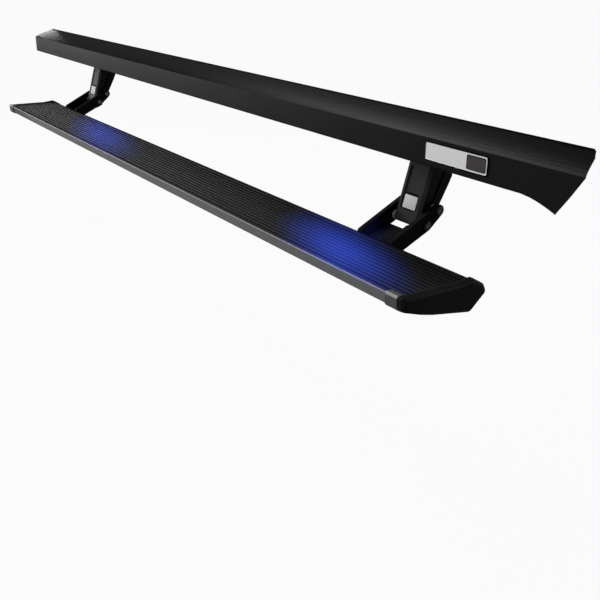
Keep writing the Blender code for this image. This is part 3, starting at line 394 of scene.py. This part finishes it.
def carrier_coat():
    """Black coat of the step carriers, with a painted spill of blue lamp light on the near one."""
    finish = powder_coat("coated carrier", grey(0.0014), grey(0.0028), 0.42, gloss=0.05)
    x, y = finish.axes()[:2]
    upward = finish.facing(0, 0, 1).between(0.3, 0.8)
    endward = finish.facing(1, 0, 0).between(0.5, 0.9)
    inside = 1 - abs(x - NEAR_LINKAGE_X).between(*RAIL_WALL)
    near_board = (1 - y.between(*SPILL_END_Y)) * (1 - x.between(*SPILL_END_X))
    # Painted light: blue lamp light on the near carrier's upward and end faces.
    spill = near_board * inside * (upward + 0.5 * endward)
    finish.emit(finish.mix(spill, UNLIT, SPILL_BLUE))
    return finish.material


def front_arm_coat():
    """Satin coat: the arm's outboard face is painted grey as lit, and its sides, back and recess walls
    are painted black as shade.
    """
    finish = Finish("coated front arm", Specular_IOR_Level=0.12)
    lean = ARM_LEAN + ARM_FACE_TILT
    face = finish.facing(0, -math.sin(lean), math.cos(lean)).between(0.55, 0.9)
    peel = finish.noise(600)
    slow = finish.noise(30)
    # Painted light and shade: grey where the face looks outboard, black on every other side.
    painted_lit_face = finish.mix(slow.between(0.3, 0.7), grey(0.019, 1.06), grey(0.027, 1.06))
    finish.set("Base Color", finish.mix(face, grey(0.0020), painted_lit_face))
    finish.set("Roughness", 0.40 + 0.14 * peel)
    finish.bump(peel, 0.0001)
    return finish.material


def pool_of_light(x, y, middle, reach, slant):
    """1 in the middle of a slanted oval and 0 beyond its reach."""
    up = y - middle[1]
    along = (x - middle[0] - up * slant) / reach[0]
    across = up / reach[1]
    return (1 - (along * along + across * across) ** 0.5).between(0.0, 1.0)


def tread_metal():
    """Black anodised extrusion with die lines. Its rib tops are paler towards the nosing, with scuffs
    there, and the tread is painted paler towards the far end as sheen. The nosing is painted silver as
    reflection, painted darker at the far end as shade and with a painted highlight on its top edge,
    and painted pools of blue lamp light lie on the ribs.
    """
    finish = Finish("anodised tread", Specular_IOR_Level=0.09)
    x, y, z = finish.axes()
    die_lines = finish.noise(1400, detail=2, stretch=(0.004, 1, 1))
    scuffs = finish.noise(60, detail=5, stretch=(0.25, 1, 1))
    top = z.between(*RIB_TOP)
    # Rib tops are paler towards the nosing and darker towards the fascia.
    towards_nosing = 1 - y.between(*NOSING_SIDE_END)
    worn = top * scuffs.between(0.35, 0.75) * towards_nosing
    # Painted sheen: the tread is paler towards the far end.
    far_sheen = 1 - x.between(*FAR_SHEEN_END)
    black = finish.mix(die_lines, grey(0.0008), grey(0.0026))
    black = finish.mix(far_sheen * towards_nosing, black, grey(0.0110))
    tops = finish.mix(towards_nosing, grey(0.0022), grey(0.0320))
    tops = finish.mix(far_sheen * (0.4 + 0.6 * towards_nosing), tops, grey(0.0150))
    ribbed = finish.mix(top * 0.7 + worn * 0.3, black, tops)

    nosing = (1 - y.between(*NOSING_BACK)) * z.between(*NOSING_BOTTOM)
    # Painted reflection: the nosing's pale silver stands for reflected light.
    silver = finish.mix(die_lines, grey(0.120), grey(0.195))
    # Painted shade: the nosing is darker at the far end.
    silver = finish.mix(1 - x.between(*FAR_NOSING_SHADE_END), silver, grey(0.060))
    # Painted highlight along the nosing's top edge.
    silver = finish.mix(z.between(*NOSING_HIGHLIGHT), silver, grey(0.27))
    finish.set("Base Color", finish.mix(nosing, ribbed, silver))
    finish.set("Roughness", 0.40 + 0.16 * die_lines - 0.08 * worn)
    finish.set("Metallic", 0.35 * nosing)
    finish.bump(die_lines, 0.00008)

    # Painted light: pools of blue lamp light on the ribs, dimmer in the grooves.
    glow = pool_of_light(x, y, *NEAR_POOL) + FAR_POOL_SHARE * pool_of_light(x, y, *FAR_POOL)
    in_grooves = (1 - top) * (0.68 - 0.60 * glow)
    lit = glow * z.between(*LIT_DEPTH) * (1 - in_grooves)
    finish.emit(finish.mix(lit, UNLIT, PAINTED_POOL_BLUE))
    return finish.material


def bright_zinc():
    """Zinc-plated steel with a few dull patches."""
    finish = Finish("bright zinc", metallic=1.0)
    patches = finish.noise(120, detail=4)
    finish.set("Base Color", finish.mix(patches, grey(0.60), grey(0.42)))
    finish.set("Roughness", 0.24 + 0.22 * patches)
    finish.bump(finish.noise(2200, detail=2), 0.00003)
    return finish.material


def pivot_steel():
    """Dark pins, with a painted highlight in the middle of each head."""
    finish = Finish("dark pivot steel", metallic=0.8)
    y, z = finish.axes()[1:]
    radius = distance_from(FRONT_LOWER, y, z)
    for pivot in (REAR_LOWER, FRONT_UPPER, REAR_UPPER):
        radius = radius.least(distance_from(pivot, y, z))
    patches = finish.noise(300, detail=4)
    dark = finish.mix(patches, grey(0.030), grey(0.060))
    # Painted highlight: a pale disc round each pivot's axis.
    finish.set("Base Color", finish.mix(radius.between(*PIN_HIGHLIGHT), grey(0.34), dark))
    finish.set("Roughness", 0.34 + 0.2 * patches)
    finish.bump(patches, 0.00005)
    return finish.material


def brushed_badge():
    """Silver badge face, brushed along its length."""
    finish = Finish("brushed silver badge", metallic=0.3)
    brush = finish.noise(2600, stretch=(0.02, 1, 1))
    finish.set("Base Color", finish.mix(brush, grey(0.80, 1), grey(0.94, 1)))
    finish.set("Roughness", 0.38 + 0.16 * brush)
    finish.bump(brush, 0.00004)
    return finish.material


def white_label():
    """White label plate with a fine satin tooth."""
    finish = Finish("white label plate", Specular_IOR_Level=0.4)
    tooth = finish.noise(1800)
    finish.set("Base Color", finish.mix(tooth, grey(0.72, 1), grey(0.80, 1)))
    finish.set("Roughness", 0.42 + 0.12 * tooth)
    finish.bump(tooth, 0.00004)
    return finish.material


def soft_rubber():
    """Dull black rubber of the edge seal, the badge's rims and the labels' backings, which stand as
    painted shade round the labels.
    """
    finish = Finish("edge seal rubber", Specular_IOR_Level=0.05)
    skin = finish.noise(900, detail=4)
    finish.set("Base Color", finish.mix(skin, grey(0.0012), grey(0.0024)))
    finish.set("Roughness", 0.62 + 0.15 * skin)
    finish.bump(skin, 0.0001)
    return finish.material


def acetal():
    """Warm grey plastic of the bushes."""
    finish = Finish("grey acetal", Specular_IOR_Level=0.45)
    skin = finish.noise(400)
    finish.set("Base Color", finish.mix(skin, (0.20, 0.195, 0.185), (0.28, 0.27, 0.26)))
    finish.set("Roughness", 0.38 + 0.1 * skin)
    finish.bump(skin, 0.00004)
    return finish.material


def lamp_glass():
    """Clear lens with fine ridges, lit blue from behind."""
    finish = Finish("lit lamp lens", roughness=0.12, Coat_Weight=0.5)
    ridges = finish.noise(500, detail=2)
    finish.set("Base Color", finish.mix(ridges, (0.35, 0.45, 0.85), (0.6, 0.7, 1.0)))
    finish.emit(finish.mix(ridges, (0.05, 0.12, 0.9), (0.2, 0.4, 1.0)), strength=2.0)
    finish.bump(ridges, 0.0002)
    return finish.material


def studio_floor():
    """Pale floor that the camera sees as near white, with the object's shadow on it."""
    finish = Finish("studio floor", roughness=0.8, Specular_IOR_Level=0.1)
    finish.set("Base Color", grey(0.45, 1))
    white = finish.node("ShaderNodeEmission", None, {"Color": (1, 1, 1), "Strength": 1.0})
    seen = finish.ray("Camera") * FLOOR_SEEN + finish.ray("Transmission") * FLOOR_SEEN
    share = seen + finish.ray("Glossy") * FLOOR_IN_GLOSS
    lit = Wire(finish, finish.shader.outputs[0])
    both = finish.node("ShaderNodeMixShader", None, {0: share, 1: lit, 2: white})
    finish.fill(finish.tree.nodes["Material Output"].inputs["Surface"], both)
    return finish.material


def add_piece(name, bm, materials, body):
    """Makes a finished mesh one piece of the object, carried by a body."""
    bmesh.ops.remove_doubles(bm, verts=bm.verts, dist=MERGE)
    bmesh.ops.recalc_face_normals(bm, faces=bm.faces)
    mesh = bpy.data.meshes.new(name)
    bm.to_mesh(mesh)
    bm.free()
    for material in materials:
        mesh.materials.append(material)
    mesh.shade_smooth()
    mesh.set_sharp_from_angle(angle=SHARP)
    piece = bpy.data.objects.new(name, mesh)
    bpy.context.scene.collection.objects.link(piece)
    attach(piece, body)


def raise_face(bm, face, height):
    """Extrudes a face along Z and returns the new one."""
    raised = bmesh.ops.extrude_face_region(bm, geom=[face], use_keep_orig=True)["geom"]
    corners = [part for part in raised if isinstance(part, bmesh.types.BMVert)]
    bmesh.ops.translate(bm, vec=(0, 0, height), verts=corners)
    return next(part for part in raised if isinstance(part, bmesh.types.BMFace))


def bevel_round(bm, face, width):
    """Bevels a face's edges and returns the face that is left: the highest, and there the largest."""
    bmesh.ops.bevel(
        bm, geom=face.edges[:], offset=width, segments=2, affect="EDGES", profile=0.5, material=-1
    )
    bm.normal_update()
    return max(bm.faces, key=lambda part: part.calc_center_median().z * 1000 + part.calc_area())


def rounded_plate(width, height, corner, thickness, edge):
    """A plate on Z = 0 with rounded corners and a small bevel round its face. Returns its face too."""
    bm = bmesh.new()
    bmesh.ops.create_grid(bm, x_segments=1, y_segments=1, size=0.5)
    bmesh.ops.scale(bm, vec=(width, height, 1), verts=bm.verts)
    bmesh.ops.bevel(
        bm, geom=bm.verts[:], offset=corner, segments=5, affect="VERTICES", profile=0.5, material=-1
    )
    return bm, bevel_round(bm, raise_face(bm, bm.faces[:][0], thickness), edge)


def sunk_field(bm, face, rim, depth, material):
    """Sinks the middle of a face inside a rim, and gives it a material."""
    inset = bmesh.ops.inset_individual
    inset(bm, faces=[face], thickness=rim, depth=0, use_even_offset=True)
    walls = inset(bm, faces=[face], thickness=depth, depth=-depth, use_even_offset=True)
    for part in (*walls["faces"], face):
        part.material_index = material


def fascia_face(x, z, height=0.0):
    """From a plate's own frame to the fascia's front face: its X runs along it, its Z outboard."""
    face = Matrix.Translation((x, FASCIA_FRONT_Y, z)) @ Matrix.Rotation(math.pi / 2, 4, "X")
    return face @ Matrix.Translation((0, 0, height))


def arm_face(x, along, height):
    """From a plate's own frame to a front arm's face, at a distance along it from the lower pivot."""
    foot = Matrix.Translation((x, *FRONT_LOWER)) @ Matrix.Rotation(ARM_LEAN, 4, "X")
    face = Matrix.Translation((0, 0, ARM_FACE_RISE)) @ Matrix.Rotation(ARM_FACE_TILT, 4, "X")
    return foot @ face @ Matrix.Translation((0, along, height))


def badge(silver, black, grey_field):
    """The badge's plate inside its black rim, and a smaller grey field at its near end."""
    bm, face = rounded_plate(BADGE_WIDTH, BADGE_HEIGHT, BADGE_CORNER, BADGE_THICKNESS, BADGE_EDGE)
    sunk_field(bm, face, BADGE_RIM, BADGE_SINK, 1)
    bm.transform(fascia_face(*BADGE_MIDDLE))
    add_piece("fascia_badge", bm, (black, silver), "rocker_side")

    bm, face = rounded_plate(FIELD_WIDTH, FIELD_HEIGHT, FIELD_CORNER, FIELD_THICKNESS, FIELD_EDGE)
    sunk_field(bm, face, FIELD_RIM, FIELD_SINK, 1)
    middle = BADGE_MIDDLE[0] + BADGE_WIDTH / 2 - FIELD_WIDTH / 2 - FIELD_INSET
    bm.transform(fascia_face(middle, BADGE_MIDDLE[1], BADGE_THICKNESS - BADGE_SINK))
    add_piece("badge_field", bm, (black, grey_field), "rocker_side")


def arm_label(side, x, shadow_backing, white):
    """A label plate on its backing, a black sheet standing as painted shade round it, in the recess of
    one front arm.
    """
    middle = (LABEL_LOW + LABEL_HIGH) / 2
    tall = LABEL_HIGH - LABEL_LOW
    shadow_backing_tall = tall + 2 * SHADOW_BACKING_GAP
    # Painted shade: a black backing that shows round the label as the recess's shadow.
    bm, _ = rounded_plate(SHADOW_BACKING_WIDTH, shadow_backing_tall, SHADOW_BACKING_CORNER, SHADOW_BACKING_THICKNESS, LABEL_EDGE)
    bm.transform(arm_face(x, middle, -RECESS_DEPTH))
    add_piece(f"label_shadow_backing_{side}", bm, (shadow_backing,), f"front_arm_{side}")
    bm, _ = rounded_plate(LABEL_WIDTH, tall, LABEL_CORNER, LABEL_THICKNESS, LABEL_EDGE)
    bm.transform(arm_face(x, middle, SHADOW_BACKING_THICKNESS - RECESS_DEPTH))
    add_piece(f"arm_label_{side}", bm, (white,), f"front_arm_{side}")


def edge_seal(material):
    """A rubber bead along the fascia's top back edge."""
    bm = bmesh.new()
    bmesh.ops.create_circle(bm, cap_ends=True, segments=12, radius=SEAL_RADIUS)
    far_x = FASCIA_LOW.x + SEAL_FAR_GAP
    raise_face(bm, bm.faces[:][0], FASCIA_TOP_NEAR_X - SEAL_NEAR_GAP - far_x)
    place = Matrix.Translation((far_x, FASCIA_BACK_Y + SEAL_OFFSET, FASCIA_HIGH.z))
    bm.transform(place @ Matrix.Rotation(math.pi / 2, 4, "Y"))
    add_piece("fascia_edge_seal", bm, (material,), "rocker_side")


def screw_head(name, seat, radius, steel):
    """A round screw head on Z = 0 of its seat, with a shallow recess in it."""
    bm = bmesh.new()
    bmesh.ops.create_circle(bm, cap_ends=True, segments=20, radius=radius)
    raised = raise_face(bm, bm.faces[:][0], radius * HEAD_HEIGHT)
    face = bevel_round(bm, raised, radius * HEAD_EDGE)
    sunk_field(bm, face, radius * HEAD_RIM, radius * HEAD_SINK, 0)
    bm.transform(seat)
    add_piece(name, bm, (steel,), "rocker_side")


def drive_screws(steel):
    """Three screws on the gearbox's lugs and two on the motor's end."""
    for number, turn in enumerate(LUG_TURNS, 1):
        y = FRONT_UPPER[0] + LUG_CIRCLE * math.cos(math.radians(turn))
        z = FRONT_UPPER[1] + LUG_CIRCLE * math.sin(math.radians(turn))
        seat = Matrix.Translation((LUG_FACE_X, y, z)) @ Matrix.Rotation(-math.pi / 2, 4, "Y")
        screw_head(f"gearbox_screw_{number}", seat, LUG_SCREW_RADIUS, steel)
    motor = box_middle("drive_motor")
    for number, way in enumerate((-1, 1), 1):
        place = (motor.x + way * MOTOR_SCREW_OFFSET, MOTOR_END_Y, motor.z)
        seat = Matrix.Translation(place) @ Matrix.Rotation(-math.pi / 2, 4, "X")
        screw_head(f"motor_screw_{number}", seat, MOTOR_SCREW_RADIUS, steel)


def dress(names, material):
    """Gives CAD nodes a finish by the start of their names."""
    for name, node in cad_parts.items():
        if name.startswith(names):
            for slot in node.material_slots:
                slot.material = material


def dress_frame(zinc):
    """Gives every CAD node its finish."""
    casting = powder_coat("coated casting", grey(0.0015), grey(0.0032), 0.44).material
    bracket = powder_coat("coated bracket", grey(0.026), grey(0.038), 0.5).material
    can = powder_coat("motor can paint", grey(0.028), grey(0.042), 0.34).material
    pins = pivot_steel()
    dress("rocker_fascia", fascia_plastic())
    dress("end_cap", end_cap_plastic())
    dress("step_carrier", carrier_coat())
    dress("rear_arm", casting)
    dress("front_arm", front_arm_coat())
    dress(("linkage_housing", "gearbox", "fascia_bracket", "fascia_stay"), bracket)
    dress(("step_lamp", "drive_motor"), can)
    dress("step_board", tread_metal())
    dress(("front_upper_bush", "front_lower_bush", "rear_upper_bush", "rear_lower_bush"), acetal())
    dress(("front_upper_pin", "front_lower_pin", "rear_upper_pin", "rear_lower_pin"), pins)
    dress(("drive_shaft", "carrier_"), zinc)
    dress("lamp_lens", lamp_glass())


def area_light(name, place, aim, size, power):
    """A rectangular lamp turned to a point, which the camera doesn't see."""
    lamp = bpy.data.lights.new(name, "AREA")
    lamp.shape = "RECTANGLE"
    lamp.size, lamp.size_y = size
    lamp.energy = power
    light = bpy.data.objects.new(name, lamp)
    light.location = place
    light.visible_camera = False
    light.rotation_euler = (Vector(aim) - Vector(place)).to_track_quat("-Z", "Y").to_euler()
    bpy.context.scene.collection.objects.link(light)


def studio_world():
    """White where it is seen and through glass, a small share of white in gloss, and a dim plain light
    elsewhere.
    """
    world = bpy.data.worlds.new("studio")
    nodes = Nodes(world)
    bpy.context.scene.world = world
    white = nodes.ray("Camera") + nodes.ray("Transmission") + nodes.ray("Glossy") * GLOSS_SHARE
    strength = WORLD_LIGHT + white * (1 - WORLD_LIGHT)
    nodes.fill(nodes.tree.nodes["Background"].inputs["Strength"], strength)
    nodes.fill(nodes.tree.nodes["Background"].inputs["Color"], (1, 1, 1))


def studio():
    """The plain view of colours, the world, the lamps and the floor."""
    bpy.context.scene.view_settings.view_transform = "Standard"
    studio_world()
    for name, settings in LAMPS.items():
        area_light(name, *settings)

    bm = bmesh.new()
    bmesh.ops.create_grid(bm, x_segments=1, y_segments=1, size=FLOOR_REACH)
    bmesh.ops.translate(bm, vec=(0, 0, FLOOR_Z), verts=bm.verts)
    mesh = bpy.data.meshes.new("studio_floor")
    bm.to_mesh(mesh)
    bm.free()
    mesh.materials.append(studio_floor())
    floor = bpy.data.objects.new("studio_floor", mesh)
    bpy.context.scene.collection.objects.link(floor)


def photo_camera():
    """The camera at the photograph's place, with its focal length."""
    camera = bpy.data.cameras.new("photo camera")
    camera.sensor_width = SENSOR
    camera.lens = FOCAL_PIXELS / IMAGE_SIDE * SENSOR
    camera.clip_start = NEAREST_SEEN
    camera.clip_end = FARTHEST_SEEN
    view = bpy.data.objects.new("photo camera", camera)
    turn = Matrix.Rotation(CAMERA_AZIMUTH, 4, "Z") @ Matrix.Rotation(math.pi / 2 - CAMERA_DROP, 4, "X")
    view.matrix_world = Matrix.Translation(CAMERA_PLACE) @ turn @ Matrix.Rotation(CAMERA_ROLL, 4, "Z")
    bpy.context.scene.collection.objects.link(view)
    bpy.context.scene.camera = view


zinc = bright_zinc()
dress_frame(zinc)
rubber = soft_rubber()
silver = brushed_badge()
grey_coat = powder_coat("grey badge field", (0.066, 0.058, 0.056), (0.080, 0.070, 0.068), 0.4)
badge(silver, rubber, grey_coat.material)
label = white_label()
for side, x in (("near", NEAR_LINKAGE_X), ("far", FAR_LINKAGE_X)):
    arm_label(side, x, rubber, label)
edge_seal(rubber)
drive_screws(zinc)
studio()
photo_camera()
